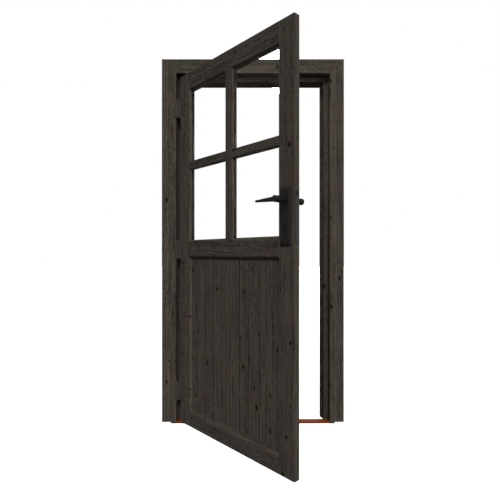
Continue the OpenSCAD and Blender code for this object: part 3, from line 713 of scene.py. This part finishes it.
def studio_floor():
    """Makes a pale floor that looks white, keeps the object's shadow and throws little light back."""
    finish = Finish("studio_floor")
    seen, mirrored = background_rays(finish)
    pale = finish.node("ShaderNodeBsdfDiffuse", None, {"Color": (0.9, 0.9, 0.9, 1.0)})
    glow = finish.node("ShaderNodeEmission", None, {"Color": WHITE, "Strength": 0.8})
    bright = finish.node("ShaderNodeAddShader", None, {0: pale, 1: glow})
    quiet = finish.node("ShaderNodeBsdfDiffuse", None, {"Color": (0.03, 0.03, 0.03, 1.0)})
    shine = finish.node("ShaderNodeEmission", None, {"Color": WHITE, "Strength": 0.5})
    hidden = finish.node("ShaderNodeMixShader", None, {0: mirrored, 1: quiet, 2: shine})
    return finish.close(finish.node("ShaderNodeMixShader", None, {0: seen, 1: hidden, 2: bright}))


def studio_world(strength):
    """Lights the room evenly and shows white to the camera, to metal and through glass."""
    world = bpy.data.worlds.new("studio")
    world.use_nodes = True
    graph = Graph(world.node_tree)
    seen, mirrored = background_rays(graph)
    level = seen.greater(mirrored) * (1 - strength) + strength
    light = graph.node("ShaderNodeBackground", None, {"Color": WHITE, "Strength": level})
    graph.node("ShaderNodeOutputWorld", None, {"Surface": light}, ())
    return world


def soft_lamp(name, place, strength):
    """Adds one broad far-off lamp in the given direction, which lights the whole height evenly."""
    lamp = bpy.data.lights.new(name, "SUN")
    lamp.angle = LAMP_SPREAD
    lamp.energy = strength
    holder = bpy.data.objects.new(name, lamp)
    holder.location = place
    holder.rotation_euler = (-Vector(place)).to_track_quat("-Z", "Y").to_euler()
    bpy.context.collection.objects.link(holder)


class DOOR_OT_stage(bpy.types.Operator):
    """Set the floor, the lights and the camera"""

    bl_idname = "door.stage"
    bl_label = "Set the stage"

    def execute(self, context):
        """Builds the studio and looks at the door from the photograph's place."""
        settings = context.scene.door_stage
        scene = context.scene
        plane = bpy.data.meshes.new("floor")
        signs = ((-1, -1), (1, -1), (1, 1), (-1, 1))
        plane.from_pydata([(FLOOR_HALF * i, FLOOR_HALF * j, 0.0) for i, j in signs], [], [(0, 1, 2, 3)])
        plane.materials.append(studio_floor())
        floor = bpy.data.objects.new("floor", plane)
        scene.collection.objects.link(floor)

        scene.world = studio_world(settings.sky)
        soft_lamp("key", KEY_PLACE, settings.key)
        soft_lamp("fill", FILL_PLACE, settings.fill)
        soft_lamp("back", BACK_PLACE, settings.back)

        camera = bpy.data.cameras.new("view")
        camera.sensor_width = SENSOR_WIDTH
        camera.lens = settings.lens
        camera.shift_x = settings.slide
        camera.shift_y = settings.rise
        camera.clip_end = VIEW_END
        holder = bpy.data.objects.new("view", camera)
        holder.location = (settings.aside, -settings.distance, settings.eye_height)
        holder.rotation_euler = (math.pi / 2, 0.0, 0.0)
        scene.collection.objects.link(holder)
        scene.camera = holder
        scene.view_settings.view_transform = "Standard"
        return {"FINISHED"}


class DOOR_PT_panel(bpy.types.Panel):
    """Lists the steps that finish the door."""

    bl_label = "Door"
    bl_idname = "DOOR_PT_panel"
    bl_space_type = "VIEW_3D"
    bl_region_type = "UI"
    bl_category = "Door"

    def draw(self, context):
        """Draws the settings and one button for each step."""
        for group in (context.scene.door_stain, context.scene.door_metal, context.scene.door_nails,
                      context.scene.door_stage):
            column = self.layout.column(align=True)
            for name in group.__annotations__:
                column.prop(group, name)
        for step in STEPS:
            self.layout.operator(step.bl_idname)


GROUPS = {
    "door_stain": StainSettings,
    "door_metal": MetalSettings,
    "door_nails": NailSettings,
    "door_stage": StageSettings,
}
STEPS = (
    DOOR_OT_stain_frame,
    DOOR_OT_stain_leaf,
    DOOR_OT_threshold,
    DOOR_OT_ironmongery,
    DOOR_OT_glaze,
    DOOR_OT_casing_nails,
    DOOR_OT_stage,
)


def register():
    """Registers the settings, the steps and the panel."""
    for name, group in GROUPS.items():
        bpy.utils.register_class(group)
        setattr(bpy.types.Scene, name, PointerProperty(type=group))
    for step in STEPS:
        bpy.utils.register_class(step)
    bpy.utils.register_class(DOOR_PT_panel)


def unregister():
    """Takes the panel, the steps and the settings out again."""
    bpy.utils.unregister_class(DOOR_PT_panel)
    for step in reversed(STEPS):
        bpy.utils.unregister_class(step)
    for name, group in GROUPS.items():
        delattr(bpy.types.Scene, name)
        bpy.utils.unregister_class(group)


def main():
    """Runs every step in order."""
    register()
    bpy.ops.door.stain_frame()
    bpy.ops.door.stain_leaf()
    bpy.ops.door.threshold()
    bpy.ops.door.ironmongery()
    bpy.ops.door.glaze()
    bpy.ops.door.casing_nails()
    bpy.ops.door.stage()


if __name__ == "__main__":
    main()
